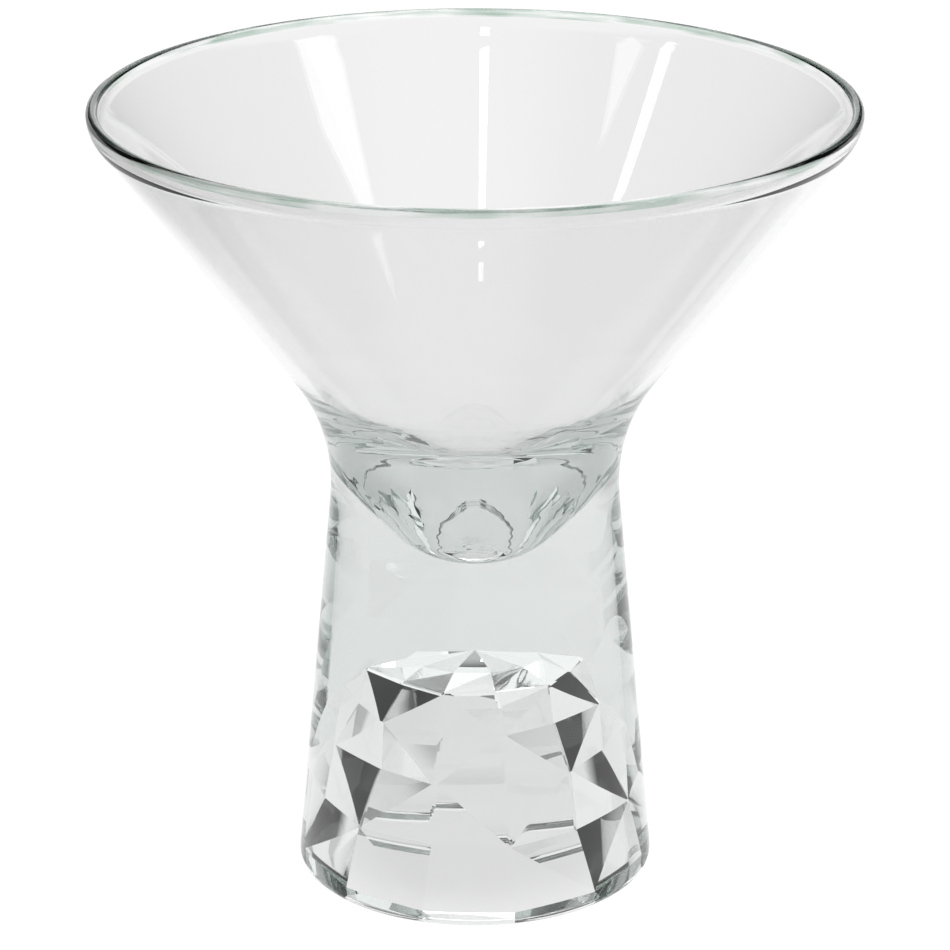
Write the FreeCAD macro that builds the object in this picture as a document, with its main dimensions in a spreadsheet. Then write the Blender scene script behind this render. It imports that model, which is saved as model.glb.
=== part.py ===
import FreeCAD, Part
import math
import os
import Sketcher

# Cocktail glass of clear pressed glass: a conical bowl on a thick tapered foot.
# The foot is hollowed from below by a diamond-faceted punt with a pointed roof.
# Millimetres. Z is the axis of the glass, and the foot stands on Z = 0.

# Driving dimensions. Angles are in degrees.
DIMENSIONS = {
    "rim_radius": 58.0,  # largest radius, at the rounded rim
    "rim_height": 123.8,  # top of the rim
    "wall": 1.8,  # bowl wall, square to its faces
    "bowl_angle": 36.84,  # slope of the bowl wall away from the axis
    "lip_radius": 5.0,  # outside of the bend that brings the wall upright at the rim
    "well_height": 68.0,  # below here the inside of the bowl is steeper
    "well_angle": 33.0,  # slope of that steeper wall away from the axis
    "floor_height": 52.2,  # inside bottom of the bowl
    "floor_fillet": 9.0,  # rounding between the well's wall and its bottom
    "waist_fillet": 30.0,  # concave sweep from the bowl into the foot
    "foot_radius": 28.05,  # foot taper carried down to Z = 0
    "foot_taper": 5.28,  # slope of the foot's side towards the axis
    "foot_corner": 1.5,  # rounding round the resting face
    "seam_height": 45.0,  # where the bowl and the foot are fused
    "punt_sides": 10,
    "punt_turn": -20.5,  # turn of the first ridge from the front of the glass
    "facet_relief": 1.4,  # how far every other corner of the facets is set in
    "mouth_height": 0.0,
    "mouth_radius": 20.9,
    "lower_height": 9.9,
    "lower_radius": 17.9,
    "middle_height": 19.4,
    "middle_radius": 15.2,
    "upper_height": 27.2,
    "upper_radius": 13.5,
    "crown_height": 33.3,
    "crown_radius": 11.2,
    "shoulder_height": 35.7,
    "shoulder_radius": 6.8,
    "roof_height": 37.5,
}
# Rings of corners down the side of the punt, from its mouth up to the edge of its roof.
PUNT_RINGS = ("mouth", "lower", "middle", "upper", "crown")

START, END, CENTRE = 1, 2, 3  # point numbers that Sketcher uses
ORIGIN = (-1, 1)
VERTICAL_AXIS = -2

doc = FreeCAD.newDocument("martini_glass")
sheet = doc.addObject("Spreadsheet::Sheet", "dims")
for row, (alias, value) in enumerate(DIMENSIONS.items(), start=1):
    sheet.set(f"A{row}", alias)
    sheet.set(f"B{row}", str(value))
    sheet.setAlias(f"B{row}", alias)
doc.recompute()


def size(alias):
    """The value of one driving dimension, as the sheet holds it."""
    return float(sheet.get(alias))


def turned(angle):
    """The unit vector in the sketch plane at this angle from the radius."""
    return FreeCAD.Vector(math.cos(math.radians(angle)), math.sin(math.radians(angle)), 0)


def arc_between(centre, radius, first, last):
    """An arc, anticlockwise from one angle to another."""
    circle = Part.Circle(centre, FreeCAD.Vector(0, 0, 1), radius)
    return Part.ArcOfCircle(circle, math.radians(first), math.radians(last))


def new_profile(label):
    """A body and an empty sketch on its XZ plane, for half of a turned section."""
    body = doc.addObject("PartDesign::Body", label)
    sketch = body.newObject("Sketcher::SketchObject", f"{label}_profile")
    plane = next(o for o in body.Origin.OriginFeatures if o.Role == "XZ_Plane")
    sketch.AttachmentSupport = (plane, "")
    sketch.MapMode = "FlatFace"
    return body, sketch


def constrain(sketch, name, expression, *arguments):
    """Adds a named constraint whose value follows the sheet."""
    number = sketch.addConstraint(Sketcher.Constraint(*arguments))
    sketch.renameConstraint(number, name)
    sketch.setExpression(f"Constraints.{name}", expression)


def join(sketch, kind, first, second):
    """Joins two ends, each given as its curve and point number."""
    sketch.addConstraint(Sketcher.Constraint(kind, *first, *second))


def revolve(body, sketch):
    """Turns the finished section once round the axis of the glass."""
    turn = body.newObject("PartDesign::Revolution", f"{body.Name}_turned")
    turn.Profile = sketch
    turn.ReferenceAxis = (sketch, ["V_Axis"])
    turn.Angle = 360
    sketch.Visibility = False
    return turn


def seam_radius():
    taper = math.tan(math.radians(size("foot_taper")))
    return size("foot_radius") - size("seam_height") * taper


def make_bowl():
    """The bowl, its waist and the solid glass below its floor, down to the seam."""
    body, sketch = new_profile("bowl")
    half_wall = size("wall") / 2
    slope = size("bowl_angle")
    taper = size("foot_taper")
    seam = FreeCAD.Vector(seam_radius(), size("seam_height"), 0)
    rim = FreeCAD.Vector(size("rim_radius") - half_wall, size("rim_height") - half_wall, 0)
    up_wall = turned(90 - slope)
    up_foot = turned(90 + taper)
    lip = FreeCAD.Vector(size("rim_radius") - size("lip_radius"), rim.y, 0)
    outer_lip = lip + turned(-slope) * size("lip_radius")
    inner_lip = lip + turned(-slope) * (size("lip_radius") - size("wall"))

    # The wall and the foot's side, carried on, meet at the corner that the waist rounds off.
    gap = outer_lip - seam
    run = (gap.x * up_wall.y - gap.y * up_wall.x) / (up_foot.x * up_wall.y - up_foot.y * up_wall.x)
    corner = seam + up_foot * run
    reach = size("waist_fillet") * math.tan(math.radians((slope + taper) / 2))
    waist_low = corner - up_foot * reach
    waist_high = corner + up_wall * reach
    waist_centre = waist_low + turned(taper) * size("waist_fillet")

    # The well's wall meets the flat floor at the corner that the floor fillet rounds off.
    well_slope = size("well_angle")
    up_well = turned(90 - well_slope)
    well_top = inner_lip - up_wall * ((inner_lip.y - size("well_height")) / up_wall.y)
    floor_corner = well_top - up_well * ((well_top.y - size("floor_height")) / up_well.y)
    floor_reach = size("floor_fillet") * math.tan(math.radians((90 - well_slope) / 2))
    floor_high = floor_corner + up_well * floor_reach
    floor_low = floor_corner - FreeCAD.Vector(floor_reach, 0, 0)
    floor_centre = floor_low + FreeCAD.Vector(0, size("floor_fillet"), 0)
    floor_middle = FreeCAD.Vector(0, size("floor_height"), 0)
    seam_middle = FreeCAD.Vector(0, size("seam_height"), 0)

    section = [
        Part.LineSegment(seam_middle, seam),
        Part.LineSegment(seam, waist_low),
        arc_between(waist_centre, size("waist_fillet"), 180 - slope, 180 + taper),
        Part.LineSegment(waist_high, outer_lip),
        arc_between(lip, size("lip_radius"), -slope, 0),
        arc_between(rim, half_wall, 0, 180),
        arc_between(lip, size("lip_radius") - size("wall"), -slope, 0),
        Part.LineSegment(inner_lip, well_top),
        Part.LineSegment(well_top, floor_high),
        arc_between(floor_centre, size("floor_fillet"), -90, -well_slope),
        Part.LineSegment(floor_low, floor_middle),
        Part.LineSegment(floor_middle, seam_middle),
    ]
    sketch.addGeometry(section, False)
    seam_line, foot_side, waist, outside, bend, rim_arc = range(6)
    inner_bend, inside, well, fillet, floor, axis = range(6, 12)
    join(sketch, "Coincident", (seam_line, END), (foot_side, START))
    join(sketch, "Tangent", (foot_side, END), (waist, END))
    join(sketch, "Tangent", (waist, START), (outside, START))
    join(sketch, "Tangent", (outside, END), (bend, START))
    join(sketch, "Tangent", (bend, END), (rim_arc, START))
    join(sketch, "Tangent", (rim_arc, END), (inner_bend, END))
    join(sketch, "Tangent", (inner_bend, START), (inside, START))
    join(sketch, "Coincident", (inside, END), (well, START))
    join(sketch, "Tangent", (well, END), (fillet, END))
    join(sketch, "Tangent", (fillet, START), (floor, START))
    join(sketch, "Coincident", (floor, END), (axis, START))
    join(sketch, "Coincident", (axis, END), (seam_line, START))
    sketch.addConstraint(Sketcher.Constraint("Horizontal", seam_line))
    sketch.addConstraint(Sketcher.Constraint("Horizontal", floor))
    sketch.addConstraint(Sketcher.Constraint("PointOnObject", axis, START, VERTICAL_AXIS))
    sketch.addConstraint(Sketcher.Constraint("PointOnObject", axis, END, VERTICAL_AXIS))
    constrain(sketch, "seam_height", "dims.seam_height",
              "DistanceY", *ORIGIN, seam_line, START, seam.y)
    constrain(sketch, "seam_radius", "dims.foot_radius - dims.seam_height * tan(dims.foot_taper)",
              "DistanceX", *ORIGIN, seam_line, END, seam.x)
    constrain(sketch, "foot_taper", "90 + dims.foot_taper",
              "Angle", foot_side, math.radians(90 + taper))
    constrain(sketch, "waist_fillet", "dims.waist_fillet",
              "Radius", waist, size("waist_fillet"))
    constrain(sketch, "bowl_angle", "90 - dims.bowl_angle",
              "Angle", outside, math.radians(90 - slope))
    join(sketch, "Coincident", (inner_bend, CENTRE), (bend, CENTRE))
    constrain(sketch, "lip_radius", "dims.lip_radius", "Radius", bend, size("lip_radius"))
    constrain(sketch, "half_wall", "dims.wall / 2", "Radius", rim_arc, half_wall)
    constrain(sketch, "rim_across", "dims.rim_radius - dims.wall / 2",
              "DistanceX", *ORIGIN, rim_arc, CENTRE, rim.x)
    constrain(sketch, "rim_up", "dims.rim_height - dims.wall / 2",
              "DistanceY", *ORIGIN, rim_arc, CENTRE, rim.y)
    sketch.addConstraint(Sketcher.Constraint("Parallel", outside, inside))
    constrain(sketch, "well_height", "dims.well_height",
              "DistanceY", *ORIGIN, well, START, well_top.y)
    constrain(sketch, "well_angle", "270 - dims.well_angle",
              "Angle", well, math.radians(270 - well_slope))
    constrain(sketch, "floor_fillet", "dims.floor_fillet",
              "Radius", fillet, size("floor_fillet"))
    constrain(sketch, "floor_height", "dims.floor_height",
              "DistanceY", *ORIGIN, floor, END, floor_middle.y)
    revolve(body, sketch)
    return body


def make_foot_blank():
    """The tapered foot from the table up to the seam, before it is hollowed."""
    body, sketch = new_profile("foot_blank")
    taper = size("foot_taper")
    corner = size("foot_corner")
    seam = FreeCAD.Vector(seam_radius(), size("seam_height"), 0)
    # The corner's centre lies one radius above the table and one radius in from the side.
    side_at_centre = size("foot_radius") - corner * math.tan(math.radians(taper))
    centre = FreeCAD.Vector(side_at_centre - corner / math.cos(math.radians(taper)), corner, 0)
    rest_edge = FreeCAD.Vector(centre.x, 0, 0)
    side_low = centre + turned(taper) * corner
    seam_middle = FreeCAD.Vector(0, size("seam_height"), 0)
    section = [
        Part.LineSegment(FreeCAD.Vector(0, 0, 0), rest_edge),
        arc_between(centre, corner, -90, taper),
        Part.LineSegment(side_low, seam),
        Part.LineSegment(seam, seam_middle),
        Part.LineSegment(seam_middle, FreeCAD.Vector(0, 0, 0)),
    ]
    sketch.addGeometry(section, False)
    rest, rounding, side, seam_line, axis = range(5)
    join(sketch, "Coincident", (rest, START), ORIGIN)
    join(sketch, "Tangent", (rest, END), (rounding, START))
    join(sketch, "Tangent", (rounding, END), (side, START))
    join(sketch, "Coincident", (side, END), (seam_line, START))
    join(sketch, "Coincident", (seam_line, END), (axis, START))
    join(sketch, "Coincident", (axis, END), (rest, START))
    sketch.addConstraint(Sketcher.Constraint("Horizontal", rest))
    sketch.addConstraint(Sketcher.Constraint("Horizontal", seam_line))
    sketch.addConstraint(Sketcher.Constraint("Vertical", axis))
    constrain(sketch, "foot_corner", "dims.foot_corner", "Radius", rounding, corner)
    constrain(sketch, "foot_taper", "90 + dims.foot_taper",
              "Angle", side, math.radians(90 + taper))
    constrain(sketch, "seam_height", "dims.seam_height",
              "DistanceY", *ORIGIN, side, END, seam.y)
    constrain(sketch, "seam_radius", "dims.foot_radius - dims.seam_height * tan(dims.foot_taper)",
              "DistanceX", *ORIGIN, side, END, seam.x)
    revolve(body, sketch)
    return body


def punt_corner(ring, ridge, set_in):
    """One corner of the punt: where a ridge crosses a ring, set in towards the axis or not."""
    step = 360 / size("punt_sides")
    angle = math.radians(size("punt_turn") + step * ridge - 90)
    radius = size(f"{ring}_radius") - (size("facet_relief") if set_in else 0)
    return FreeCAD.Vector(radius * math.cos(angle), radius * math.sin(angle),
                          size(f"{ring}_height"))


def set_in(ridge, level, ring):
    """Whether a corner is one of those set in: every other one, above the mouth."""
    return ring != "mouth" and (ridge + level) % 2 == 1


def facet(*corners):
    """A flat face through these corners."""
    return Part.Face(Part.makePolygon(list(corners) + [corners[0]]))


def make_punt():
    """The hollow under the foot: flat diamonds in staggered rows, below a pointed roof."""
    sides = int(size("punt_sides"))
    # Every other corner is set in, so four facets round it make a shallow dished diamond.
    # The mouth is a plain regular outline.
    grid = [
        [
            punt_corner(ring, ridge, set_in(ridge, level, ring))
            for ridge in range(sides)
        ]
        for level, ring in enumerate(PUNT_RINGS)
    ]
    shoulder = [punt_corner("shoulder", ridge, False) for ridge in range(sides)]
    peak = FreeCAD.Vector(0, 0, size("roof_height"))
    faces = [facet(*grid[0])]
    for ridge in range(sides):
        beside = (ridge + 1) % sides
        for level in range(len(PUNT_RINGS) - 1):
            low_left, low_right = grid[level][ridge], grid[level][beside]
            high_left, high_right = grid[level + 1][ridge], grid[level + 1][beside]
            if (ridge + level) % 2 == 0:
                faces.append(facet(low_left, low_right, high_right))
                faces.append(facet(low_left, high_right, high_left))
            else:
                faces.append(facet(low_left, low_right, high_left))
                faces.append(facet(low_right, high_right, high_left))
        crown_left, crown_right = grid[-1][ridge], grid[-1][beside]
        faces.append(facet(crown_left, crown_right, shoulder[beside]))
        faces.append(facet(crown_left, shoulder[beside], shoulder[ridge]))
        faces.append(facet(shoulder[ridge], shoulder[beside], peak))
    punt = doc.addObject("Part::Feature", "punt")
    punt.Shape = Part.Solid(Part.Shell(faces))
    punt.Placement = FreeCAD.Placement()
    return punt


def make_foot():
    """The foot blank with the punt taken out of it."""
    foot = doc.addObject("Part::Cut", "foot")
    foot.Base = make_foot_blank()
    foot.Tool = make_punt()
    return foot


sub_parts = [make_bowl(), make_foot()]
for sub_part in sub_parts:
    sub_part.Label = sub_part.Name
doc.recompute()

for item in doc.Objects:
    if "Invalid" in item.State or "Error" in item.State:
        raise RuntimeError(f"{item.Name} failed: {item.State}")
for sub_part in sub_parts:
    if sub_part.Shape.isNull() or not sub_part.Shape.isValid() or len(sub_part.Shape.Solids) != 1:
        raise RuntimeError(f"{sub_part.Label} isn't one valid solid")
blank = doc.getObject("foot_blank").Shape
punt_volume = doc.getObject("punt").Shape.Volume
if abs(blank.Volume - doc.getObject("foot").Shape.Volume - punt_volume) > 0.01 * punt_volume:
    raise RuntimeError("the punt doesn't hollow the foot")

os.makedirs("parts", exist_ok=True)
for sub_part in sub_parts:
    sub_part.Shape.exportStep(f"parts/{sub_part.Label}.step")
    print(f"{sub_part.Label}: {sub_part.Shape.Volume / 1000:.1f} cm3")
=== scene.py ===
import bmesh
import bpy
import math
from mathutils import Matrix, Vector, noise


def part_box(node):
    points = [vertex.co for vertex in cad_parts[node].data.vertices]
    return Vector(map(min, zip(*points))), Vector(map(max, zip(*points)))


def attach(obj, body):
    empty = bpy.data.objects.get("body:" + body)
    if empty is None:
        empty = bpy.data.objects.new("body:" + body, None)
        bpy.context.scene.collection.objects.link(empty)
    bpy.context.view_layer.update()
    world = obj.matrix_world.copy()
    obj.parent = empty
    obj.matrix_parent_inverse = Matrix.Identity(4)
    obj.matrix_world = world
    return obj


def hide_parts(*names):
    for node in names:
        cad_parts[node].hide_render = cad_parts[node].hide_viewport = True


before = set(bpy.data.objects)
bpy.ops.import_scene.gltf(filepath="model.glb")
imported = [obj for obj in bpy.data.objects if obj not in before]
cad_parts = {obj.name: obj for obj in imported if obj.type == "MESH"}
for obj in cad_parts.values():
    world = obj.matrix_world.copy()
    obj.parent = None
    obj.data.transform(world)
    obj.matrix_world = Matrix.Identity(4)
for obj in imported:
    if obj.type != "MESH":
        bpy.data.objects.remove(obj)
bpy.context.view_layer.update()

# Sizes that the frame gives, in metres.
FOOT_LOW, FOOT_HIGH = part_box("foot")
BOWL_LOW, BOWL_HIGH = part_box("bowl")
RIM_RADIUS = BOWL_HIGH[0]
RIM_HEIGHT = BOWL_HIGH[2]
SEAM_HEIGHT = FOOT_HIGH[2]

# Driving dimensions of the glass, in metres and degrees, as the CAD model has them.
WALL = 0.0018
BOWL_ANGLE = 36.84
LIP_RADIUS = 0.005
FLOOR_HEIGHT = 0.0522
WELL_HEIGHT = 0.068
WELL_ANGLE = 33.0
WELL_EASE = 0.15  # radius of the gentle bend from the bowl's inside into the well
FLOOR_FILLET = 0.009
WAIST_FILLET = 0.030
FOOT_RADIUS = 0.02805
FOOT_TAPER = 5.28
FOOT_CORNER = 0.0015
PUNT_SIDES = 10
PUNT_TURN = -20.5
FACET_RELIEF = 0.0014
# Rings of facet corners from the mouth of the punt up, as (height, radius).
PUNT_RINGS = (
    (0.0, 0.0209),
    (0.0099, 0.0179),
    (0.0194, 0.0152),
    (0.0272, 0.0135),
    (0.0333, 0.0112),
)
SHOULDER_RING = (0.0357, 0.0068)
ROOF_HEIGHT = 0.0375

TURNS = 320  # steps round the glass
RIM_MELT = 0.00095  # the melted edge reaches down to here below the top of the rim
UNEVEN_HEIGHT = 0.0775  # the inside is uneven below here, where the plunger left it wavy
SWIRL = (330, 0.00006)  # how fine the waves on the uneven inside are, and how deep
CURL = (620, 0.00002)  # smaller waves on top of them
RIPPLE = (0.0011, 0.000004)  # width and depth of the rings pressed round the floor
WALL_WAVE = (38, 0.00009)  # the broad waves of the whole inside
RIM_WAVE = (110, 0.00002)  # waves along the melted edge
RIDGE_ROUND = 0.00035  # rounding of the ridges between the facets
GLASS_IOR = 1.52
GLASS_CLEAR = 0.87
RIM_PAINTED_SHADE_TINTS = ((0.38, 0.50, 0.43, 1), (0.95, 0.97, 0.96, 1))  # painted shade and light: the dark green and clear streaks that run along the rim
GLASS_TINT = (0.49, 0.575, 0.54, 1)
TINT_DENSITY = 9.0  # per metre
HORIZON = (0.075, 0.12)  # the pale horizon fades into the dim room between these heights
ROOM = 0.05  # the dim room beyond the glass
ROOM_FRONT = 0.7  # the lighter room on the viewer's side
FLOOR_GLOW = 0.99
FLOOR_LEFT_GLOW = 0.58
FLOOR_LEFT = (0.073, 0.13)  # the glow falls between these distances to the left of the glass
FOOT_SHADE = (0.015, 0.041)  # the shade under the foot ends between these radii
FOOT_SHADE_GLOW = 0.82
SEAM_GAP = 2e-6  # between the two faces of the seam
CAMERA_BACK = 10 * RIM_RADIUS
CAMERA_UP = 4.807 * RIM_RADIUS + 0.0004
CAMERA_PITCH = 20.36  # degrees below level
CAMERA_LENS = 151.7


def turned(angle):
    """A unit vector in the (radius, height) plane, at this angle from the radius."""
    return Vector((math.cos(math.radians(angle)), math.sin(math.radians(angle))))


def arc(centre, radius, first, last, steps):
    """Points along an arc from one angle to another, both ends included."""
    return [centre + turned(first + (last - first) * i / steps) * radius for i in range(steps + 1)]


def line(start, end, steps):
    """Points along a straight run, without its last one."""
    return [start.lerp(end, i / steps) for i in range(steps)]


def seam_radius():
    return FOOT_RADIUS - SEAM_HEIGHT * math.tan(math.radians(FOOT_TAPER))


def bowl_profile():
    """The bowl's section from the seam's edge, up the outside, over the rim and down to the axis."""
    half_wall = WALL / 2
    seam = Vector((seam_radius(), SEAM_HEIGHT + SEAM_GAP))
    rim = Vector((RIM_RADIUS - half_wall, RIM_HEIGHT - half_wall))
    lip = Vector((RIM_RADIUS - LIP_RADIUS, rim.y))
    up_wall = turned(90 - BOWL_ANGLE)
    up_foot = turned(90 + FOOT_TAPER)
    outer_lip = lip + turned(-BOWL_ANGLE) * LIP_RADIUS
    inner_lip = lip + turned(-BOWL_ANGLE) * (LIP_RADIUS - WALL)
    gap = outer_lip - seam
    run = (gap.x * up_wall.y - gap.y * up_wall.x) / (up_foot.x * up_wall.y - up_foot.y * up_wall.x)
    corner = seam + up_foot * run
    reach = WAIST_FILLET * math.tan(math.radians((BOWL_ANGLE + FOOT_TAPER) / 2))
    waist_low = corner - up_foot * reach
    waist_high = corner + up_wall * reach
    waist_centre = waist_low + turned(FOOT_TAPER) * WAIST_FILLET
    well_top = inner_lip - up_wall * ((inner_lip.y - WELL_HEIGHT) / up_wall.y)
    up_well = turned(90 - WELL_ANGLE)
    floor_corner = well_top - up_well * ((WELL_HEIGHT - FLOOR_HEIGHT) / up_well.y)
    floor_reach = FLOOR_FILLET * math.tan(math.radians((90 - WELL_ANGLE) / 2))
    floor_high = floor_corner + up_well * floor_reach
    floor_low = floor_corner - Vector((floor_reach, 0))
    floor_centre = floor_low + Vector((0, FLOOR_FILLET))
    points = line(seam, waist_low, 8)
    points += arc(waist_centre, WAIST_FILLET, 180 + FOOT_TAPER, 180 - BOWL_ANGLE, 24)
    points += line(waist_high, outer_lip, 36)[1:]
    points += arc(lip, LIP_RADIUS, -BOWL_ANGLE, 0, 10)
    points += arc(rim, half_wall, 0, 180, 24)[1:]
    points += arc(lip, LIP_RADIUS - WALL, 0, -BOWL_ANGLE, 8)[1:]
    uneven_top = inner_lip.lerp(well_top, (inner_lip.y - UNEVEN_HEIGHT) / (inner_lip.y - well_top.y))
    points += line(inner_lip, uneven_top, 40)[1:]
    # The CAD's crease at the top of the well is eased over here.
    ease = WELL_EASE * math.tan(math.radians((BOWL_ANGLE - WELL_ANGLE) / 2))
    ease_high = well_top + up_wall * ease
    ease_low = well_top - up_well * ease
    ease_centre = ease_high + turned(-BOWL_ANGLE) * WELL_EASE
    points += line(uneven_top, ease_high, 22)
    points += arc(ease_centre, WELL_EASE, 180 - BOWL_ANGLE, 180 - WELL_ANGLE, 30)[:-1]
    points += line(ease_low, floor_high, 34)
    points += arc(floor_centre, FLOOR_FILLET, -WELL_ANGLE, -90, 40)
    points += line(floor_low, Vector((0, FLOOR_HEIGHT)), 6)[1:]
    return points


def foot_profile():
    """The foot's section from the seam's edge down the outside to the edge of the resting face."""
    side = FOOT_RADIUS - FOOT_CORNER * math.tan(math.radians(FOOT_TAPER))
    centre = Vector((side - FOOT_CORNER / math.cos(math.radians(FOOT_TAPER)), FOOT_CORNER))
    side_low = centre + turned(FOOT_TAPER) * FOOT_CORNER
    points = line(Vector((seam_radius(), SEAM_HEIGHT)), side_low, 24)
    points += arc(centre, FOOT_CORNER, FOOT_TAPER, -90, 12)
    return points


def ring_of(bm, point):
    """A ring of vertices round the axis, through this point of a section."""
    return [
        bm.verts.new((
            point.x * math.sin(math.tau * i / TURNS),
            -point.x * math.cos(math.tau * i / TURNS),
            point.y,
        ))
        for i in range(TURNS)
    ]


def skin_between(bm, first, second):
    """A band of faces between two rings with the same number of vertices."""
    for i in range(len(first)):
        beside = (i + 1) % len(first)
        face = bm.faces.new((first[i], first[beside], second[beside], second[i]))
        face.smooth = True


def close_ring(bm, ring, middle, smooth):
    """A fan of faces from a ring to a point on the axis."""
    centre = bm.verts.new(middle)
    faces = []
    for i in range(len(ring)):
        faces.append(bm.faces.new((ring[i], ring[(i + 1) % len(ring)], centre)))
        faces[-1].smooth = smooth
    return faces


def new_shell():
    """An empty mesh whose faces can be marked as the fused seam or the rim."""
    bm = bmesh.new()
    bm.faces.layers.float.new("seam")
    bm.faces.layers.float.new("rim")
    return bm


def finish_piece(bm, name, seam_ring, seam_faces):
    """Turns a built shell into a piece, with its faces outward and its seam marked."""
    seam_layer = bm.faces.layers.float["seam"]
    for face in seam_faces:
        face[seam_layer] = 1.0
    for i, vertex in enumerate(seam_ring):
        bm.edges.get((vertex, seam_ring[i - 1])).smooth = False
    bmesh.ops.recalc_face_normals(bm, faces=bm.faces)
    mesh = bpy.data.meshes.new(name)
    bm.to_mesh(mesh)
    bm.free()
    piece = bpy.data.objects.new(name, mesh)
    bpy.context.collection.objects.link(piece)
    return piece


def away_from_axis(vertex):
    """The level direction from the axis to a vertex."""
    return Vector((vertex.co.x, vertex.co.y, 0)).normalized()


def make_uneven(ring, point):
    """Pushes a ring of the inside in and out a little, as hot glass sets under a plunger."""
    depth = (UNEVEN_HEIGHT - point.y) / (UNEVEN_HEIGHT - FLOOR_HEIGHT)
    fade = min(1, depth * 2.2) * min(1, (1.02 - depth) * 3 + 0.1)
    rings_pressed = math.sin(math.tau * point.x / RIPPLE[0]) * min(1, depth * 1.2) ** 6
    for vertex in ring:
        across = abs(vertex.co.x) / max(point.x, 0.001)
        swirl = noise.noise(vertex.co * SWIRL[0] + Vector((3.1, 0, 0)))
        curl = noise.noise(vertex.co * CURL[0] + Vector((0, 7.3, swirl)))
        off = (SWIRL[1] * swirl + CURL[1] * curl) * fade * (0.02 + 1.3 * across ** 2)
        off += RIPPLE[1] * rings_pressed
        outward = away_from_axis(vertex) * 0.7 if point.x > 0.001 else Vector()
        vertex.co += (outward - Vector((0, 0, 0.7))) * off


def make_wavy(ring, point):
    """Gives a ring of the inside the broad waves of a pressed wall, fading at rim and floor."""
    below_rim = min(1, max(0, (RIM_HEIGHT - 0.002 - point.y) / 0.01))
    above_floor = min(1, (point.y - FLOOR_HEIGHT) / 0.01)
    for vertex in ring:
        wave = noise.noise(vertex.co * WALL_WAVE[0] + Vector((1.7, 5.2, 0)))
        inward = Vector((-vertex.co.x, -vertex.co.y, 0)) / max(point.x, 0.001)
        push = inward * 0.8 + Vector((0, 0, 0.6))
        vertex.co += push * WALL_WAVE[1] * wave * (below_rim * above_floor)


def melt_rim(bm, points, rings):
    """Marks the rounded rim for its painted shade and light streaks, and makes it as slightly uneven
    as a melted edge.
    """
    rim_layer = bm.faces.layers.float["rim"]
    for number, (point, ring) in enumerate(zip(points, rings)):
        if point.y < RIM_HEIGHT - RIM_MELT:
            continue
        rise = min(1, (point.y - RIM_HEIGHT + RIM_MELT) / 0.0004)
        for vertex in ring:
            along = Vector((vertex.co.x * RIM_WAVE[0], vertex.co.y * RIM_WAVE[0], number * 0.4))
            wave = noise.noise(along) + 1
            vertex.co -= (away_from_axis(vertex) + Vector((0, 0, 1))) * RIM_WAVE[1] * wave * rise
            for face in vertex.link_faces:
                face[rim_layer] = 1.0


def make_bowl():
    bm = new_shell()
    points = bowl_profile()
    rings = [ring_of(bm, point) for point in points]
    for first, second in zip(rings, rings[1:]):
        skin_between(bm, first, second)
    close_ring(bm, rings[-1], (0, 0, FLOOR_HEIGHT), True)
    inside = len(points) // 2
    for point, ring in zip(points[inside:], rings[inside:]):
        if point.y <= UNEVEN_HEIGHT:
            make_uneven(ring, point)
        make_wavy(ring, point)
    melt_rim(bm, points, rings)
    seam = close_ring(bm, rings[0], (0, 0, SEAM_HEIGHT + SEAM_GAP), False)
    return finish_piece(bm, "glass_bowl", rings[0], seam)


def set_in(ridge, level):
    """Every other corner is set in, above the mouth."""
    return level > 0 and (ridge + level) % 2 == 1


def punt_corner(bm, height, radius, ridge):
    angle = math.radians(PUNT_TURN + 360 / PUNT_SIDES * ridge)
    return bm.verts.new((radius * math.sin(angle), -radius * math.cos(angle), height))


def add_punt(bm, rest_ring):
    """The faceted hollow, and the flat resting face between its mouth and the foot's corner."""
    grid = []
    for level, (height, radius) in enumerate(PUNT_RINGS):
        grid.append([
            punt_corner(bm, height, radius - FACET_RELIEF * set_in(ridge, level), ridge)
            for ridge in range(PUNT_SIDES)
        ])
    shoulder = [punt_corner(bm, *SHOULDER_RING, ridge) for ridge in range(PUNT_SIDES)]
    peak = bm.verts.new((0, 0, ROOF_HEIGHT))
    for ridge in range(PUNT_SIDES):
        beside = (ridge + 1) % PUNT_SIDES
        for level in range(len(PUNT_RINGS) - 1):
            low_left, low_right = grid[level][ridge], grid[level][beside]
            high_left, high_right = grid[level + 1][ridge], grid[level + 1][beside]
            if (ridge + level) % 2 == 0:
                bm.faces.new((low_left, low_right, high_right))
                bm.faces.new((low_left, high_right, high_left))
            else:
                bm.faces.new((low_left, low_right, high_left))
                bm.faces.new((low_right, high_right, high_left))
        crown_left, crown_right = grid[-1][ridge], grid[-1][beside]
        bm.faces.new((crown_left, crown_right, shoulder[beside]))
        bm.faces.new((crown_left, shoulder[beside], shoulder[ridge]))
        bm.faces.new((shoulder[ridge], shoulder[beside], peak))
    # Each vertex of the resting face's outer edge joins the mouth corner nearest to it.
    nearest = []
    for i in range(TURNS):
        turn = (360 * i / TURNS - PUNT_TURN) / (360 / PUNT_SIDES)
        nearest.append(round(turn) % PUNT_SIDES)
    for i in range(TURNS):
        beside = (i + 1) % TURNS
        here, there = grid[0][nearest[i]], grid[0][nearest[beside]]
        bm.faces.new((rest_ring[i], rest_ring[beside], here))
        if here != there:
            bm.faces.new((rest_ring[beside], there, here))
    ridges = []
    for ridge in range(PUNT_SIDES):
        for level in range(1, len(PUNT_RINGS) - 1):
            ridges.append(bm.edges.get((grid[level][ridge], grid[level + 1][ridge])))
        ridges.append(bm.edges.get((grid[-1][ridge], grid[-1][(ridge + 1) % PUNT_SIDES])))
    return ridges


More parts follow.
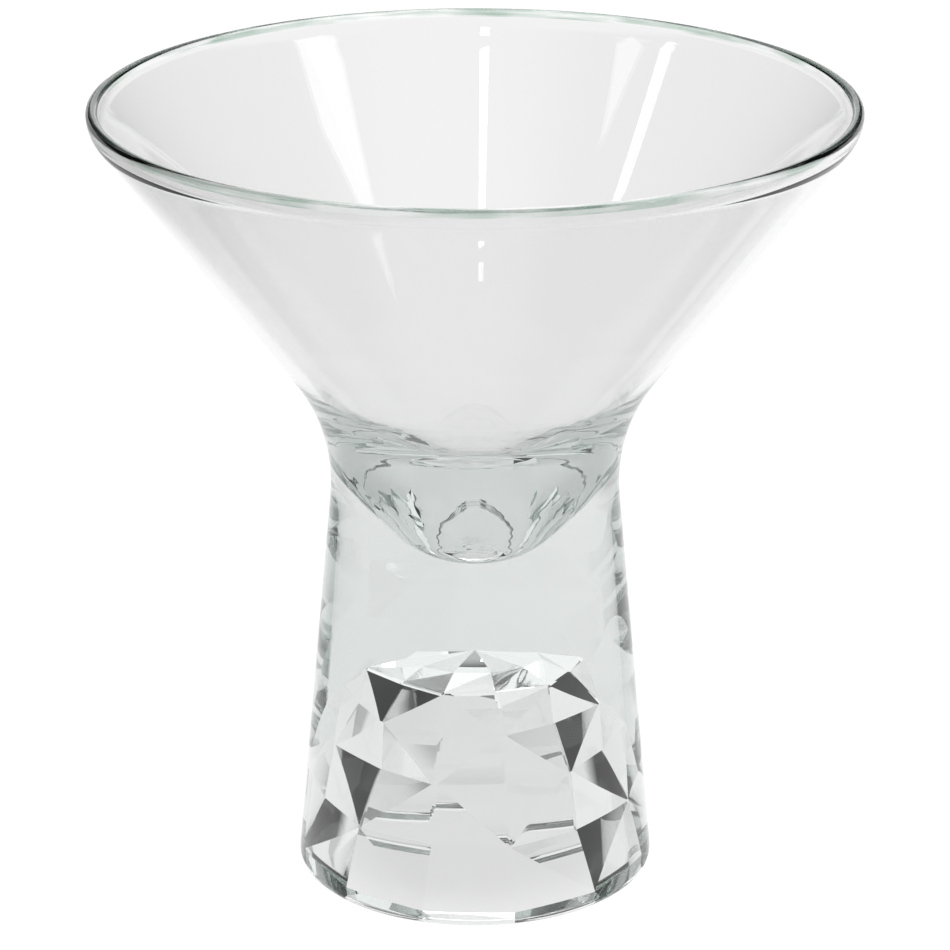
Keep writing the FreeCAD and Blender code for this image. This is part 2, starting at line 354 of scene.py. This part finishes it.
def make_foot():
    bm = new_shell()
    rings = [ring_of(bm, point) for point in foot_profile()]
    for first, second in zip(rings, rings[1:]):
        skin_between(bm, first, second)
    ridges = add_punt(bm, rings[-1])
    bmesh.ops.bevel(bm, geom=ridges, offset=RIDGE_ROUND, segments=3, profile=0.5,
                    affect="EDGES", clamp_overlap=True)
    seam = close_ring(bm, rings[0], (0, 0, SEAM_HEIGHT), False)
    return finish_piece(bm, "glass_foot", rings[0], seam)


def rim_painted_shade_streaks(nodes, links):
    """Fine green and clear streaks that run along the rim, set as colour: painted shade and light in
    place of the light that a thick edge of glass guides along itself.
    """
    place = nodes.new("ShaderNodeTexCoord")
    flat = nodes.new("ShaderNodeVectorMath")
    flat.operation = "MULTIPLY"
    flat.inputs[1].default_value = (1, 1, 0)
    radius = nodes.new("ShaderNodeVectorMath")
    radius.operation = "LENGTH"
    across = nodes.new("ShaderNodeVectorMath")
    across.operation = "SCALE"
    across.inputs[0].default_value = (0, 0, 2000)
    along = nodes.new("ShaderNodeVectorMath")
    along.operation = "MULTIPLY_ADD"
    along.inputs[1].default_value = (100, 100, 700)
    streaks = nodes.new("ShaderNodeTexNoise")
    streaks.inputs["Scale"].default_value = 1.0
    streaks.inputs["Detail"].default_value = 1.0
    tints = nodes.new("ShaderNodeValToRGB")
    for stop, position, colour in zip(tints.color_ramp.elements, (0.38, 0.62), RIM_PAINTED_SHADE_TINTS):
        stop.position, stop.color = position, colour
    links.new(place.outputs["Object"], flat.inputs[0])
    links.new(flat.outputs["Vector"], radius.inputs[0])
    links.new(radius.outputs["Value"], across.inputs["Scale"])
    links.new(place.outputs["Object"], along.inputs[0])
    links.new(across.outputs["Vector"], along.inputs[2])
    links.new(along.outputs["Vector"], streaks.inputs["Vector"])
    links.new(streaks.outputs["Fac"], tints.inputs["Fac"])
    return tints.outputs["Color"]


def glass_material():
    """Clear glass with a faint green body colour, and painted shade and light streaks along the rim.
    It doesn't bend light at the fused seam.
    """
    material = bpy.data.materials.new("clear_glass")
    material.use_nodes = True
    nodes, links = material.node_tree.nodes, material.node_tree.links
    shader = nodes["Principled BSDF"]
    shader.inputs["Roughness"].default_value = 0.0
    shader.inputs["Transmission Weight"].default_value = 1.0
    shader.inputs["IOR"].default_value = GLASS_IOR
    seam = nodes.new("ShaderNodeAttribute")
    seam.attribute_name = "seam"
    bend = nodes.new("ShaderNodeMath")
    bend.operation = "MULTIPLY_ADD"
    bend.inputs[1].default_value = 1 - GLASS_IOR
    bend.inputs[2].default_value = GLASS_IOR
    links.new(seam.outputs["Fac"], bend.inputs[0])
    links.new(bend.outputs[0], shader.inputs["IOR"])
    surface = nodes.new("ShaderNodeMix")
    surface.data_type = "RGBA"
    surface.inputs["B"].default_value = (1, 1, 1, 1)
    links.new(seam.outputs["Fac"], surface.inputs["Factor"])
    # The rim's faces get painted shade and light: dark green and clear streaks set as colour, not
    # made by absorption in the thick edge.
    rim = nodes.new("ShaderNodeAttribute")
    rim.attribute_name = "rim"
    edge = nodes.new("ShaderNodeMix")
    edge.data_type = "RGBA"
    edge.inputs["A"].default_value = (GLASS_CLEAR, GLASS_CLEAR, GLASS_CLEAR, 1)
    links.new(rim_painted_shade_streaks(nodes, links), edge.inputs["B"])
    links.new(rim.outputs["Fac"], edge.inputs["Factor"])
    links.new(edge.outputs["Result"], surface.inputs["A"])
    links.new(surface.outputs["Result"], shader.inputs["Base Color"])
    tint = nodes.new("ShaderNodeVolumeAbsorption")
    tint.inputs["Color"].default_value = GLASS_TINT
    tint.inputs["Density"].default_value = TINT_DENSITY
    links.new(tint.outputs[0], nodes["Material Output"].inputs["Volume"])
    return material


def make_camera():
    camera = bpy.data.cameras.new("camera")
    camera.sensor_width = 36
    camera.lens = CAMERA_LENS
    camera.clip_start = 0.01
    camera.clip_end = 20
    holder = bpy.data.objects.new("camera", camera)
    bpy.context.collection.objects.link(holder)
    holder.location = (0, -CAMERA_BACK, CAMERA_UP)
    holder.rotation_euler = (math.radians(90 - CAMERA_PITCH), 0, 0)
    bpy.context.scene.camera = holder


def make_stage():
    """A glowing pale floor, like a light table."""
    mesh = bpy.data.meshes.new("floor")
    bm = bmesh.new()
    bmesh.ops.create_circle(bm, cap_ends=True, radius=6, segments=96)
    bm.to_mesh(mesh)
    bm.free()
    floor = bpy.data.objects.new("floor", mesh)
    floor.location.z = -0.0001
    bpy.context.collection.objects.link(floor)
    material = bpy.data.materials.new("floor")
    material.use_nodes = True
    shader = material.node_tree.nodes["Principled BSDF"]
    shader.inputs["Base Color"].default_value = (0.08, 0.08, 0.08, 1)
    shader.inputs["Roughness"].default_value = 1.0
    shader.inputs["Specular IOR Level"].default_value = 0.0
    shader.inputs["Emission Color"].default_value = (1, 1, 1, 1)
    # The glow falls off towards the left, beyond what the camera sees, and in the shade of the foot.
    nodes, links = material.node_tree.nodes, material.node_tree.links
    place = nodes.new("ShaderNodeTexCoord")
    side = nodes.new("ShaderNodeVectorMath")
    side.operation = "DOT_PRODUCT"
    side.inputs[1].default_value = (-1, -0.111, 0)
    shade = nodes.new("ShaderNodeVectorMath")
    shade.operation = "MULTIPLY_ADD"
    shade.inputs[1].default_value = (1.45, 1, 0)
    shade.inputs[2].default_value = (0, -0.012, 0)
    from_foot = nodes.new("ShaderNodeVectorMath")
    from_foot.operation = "LENGTH"
    glow = nodes.new("ShaderNodeMath")
    glow.operation = "MULTIPLY"
    links.new(place.outputs["Object"], side.inputs[0])
    links.new(place.outputs["Object"], shade.inputs[0])
    links.new(shade.outputs["Vector"], from_foot.inputs[0])
    for number, (source, limits) in enumerate((
        (side, (*FLOOR_LEFT, FLOOR_GLOW, FLOOR_LEFT_GLOW)),
        (from_foot, (*FOOT_SHADE, FOOT_SHADE_GLOW, 1.0)),
    )):
        fall = nodes.new("ShaderNodeMapRange")
        fall.interpolation_type = "SMOOTHSTEP"
        for socket, value in zip(("From Min", "From Max", "To Min", "To Max"), limits):
            fall.inputs[socket].default_value = value
        links.new(source.outputs["Value"], fall.inputs["Value"])
        links.new(fall.outputs["Result"], glow.inputs[number])
    links.new(glow.outputs[0], shader.inputs["Emission Strength"])
    mesh.materials.append(material)


def softbox(name, azimuth, elevation, distance, width, height, radiance):
    """A soft light that faces the glass. Azimuth turns from +Y, behind the glass, towards +X."""
    light = bpy.data.lights.new(name, "AREA")
    light.shape = "RECTANGLE"
    light.size, light.size_y = width, height
    light.energy = radiance * math.pi * width * height
    holder = bpy.data.objects.new(name, light)
    bpy.context.collection.objects.link(holder)
    aim = Vector((0, 0, 0.07))
    level = math.cos(math.radians(elevation))
    toward = Vector((
        level * math.sin(math.radians(azimuth)),
        level * math.cos(math.radians(azimuth)),
        math.sin(math.radians(elevation)),
    ))
    holder.location = aim + toward * distance
    holder.rotation_euler = (-toward).to_track_quat("-Z", "Y").to_euler()


def make_room():
    """A room above a pale horizon: dim beyond the glass, lighter on the viewer's side."""
    world = bpy.data.worlds.new("room")
    world.use_nodes = True
    nodes, links = world.node_tree.nodes, world.node_tree.links
    direction = nodes.new("ShaderNodeTexCoord")
    split = nodes.new("ShaderNodeSeparateXYZ")
    rise = nodes.new("ShaderNodeMapRange")
    toward = nodes.new("ShaderNodeVectorMath")
    toward.operation = "DOT_PRODUCT"
    toward.inputs[1].default_value = (0.2, -1, -0.25)
    walls = nodes.new("ShaderNodeMapRange")
    walls.interpolation_type = "SMOOTHSTEP"
    shade = nodes.new("ShaderNodeMix")
    shade.inputs["A"].default_value = 0.97
    links.new(direction.outputs["Generated"], split.inputs[0])
    links.new(direction.outputs["Generated"], toward.inputs[0])
    for fall, source, limits in (
        (rise, split.outputs["Z"], (*HORIZON, 0.0, 1.0)),
        (walls, toward.outputs["Value"], (0.0, 0.35, ROOM, ROOM_FRONT)),
    ):
        for socket, value in zip(("From Min", "From Max", "To Min", "To Max"), limits):
            fall.inputs[socket].default_value = value
        links.new(source, fall.inputs["Value"])
    links.new(rise.outputs["Result"], shade.inputs["Factor"])
    links.new(walls.outputs["Result"], shade.inputs["B"])
    links.new(shade.outputs["Result"], nodes["Background"].inputs["Color"])
    bpy.context.scene.world = world


def light_scene():
    make_room()
    softbox("overhead", 0, 76, 1.15, 1.9, 1.4, 1.3)
    softbox("back", 0, 27, 1.8, 0.8, 1.45, 1.2)
    softbox("key", 109.5, 52.7, 1.2, 0.20, 0.13, 1.6)
    softbox("side", -96.6, 47.9, 1.2, 0.045, 0.10, 4.5)
    softbox("front", -175.3, 60.6, 1.2, 0.045, 0.09, 6.0)


material = glass_material()
bowl = make_bowl()
foot = make_foot()
for piece, node in ((bowl, "bowl"), (foot, "foot")):
    piece.data.materials.append(material)
    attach(piece, "root")
    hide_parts(node)
make_stage()
light_scene()
make_camera()

scene = bpy.context.scene
scene.view_settings.view_transform = "Standard"
scene.cycles.max_bounces = 48
scene.cycles.transmission_bounces = 48
scene.cycles.glossy_bounces = 48
scene.cycles.transparent_max_bounces = 16
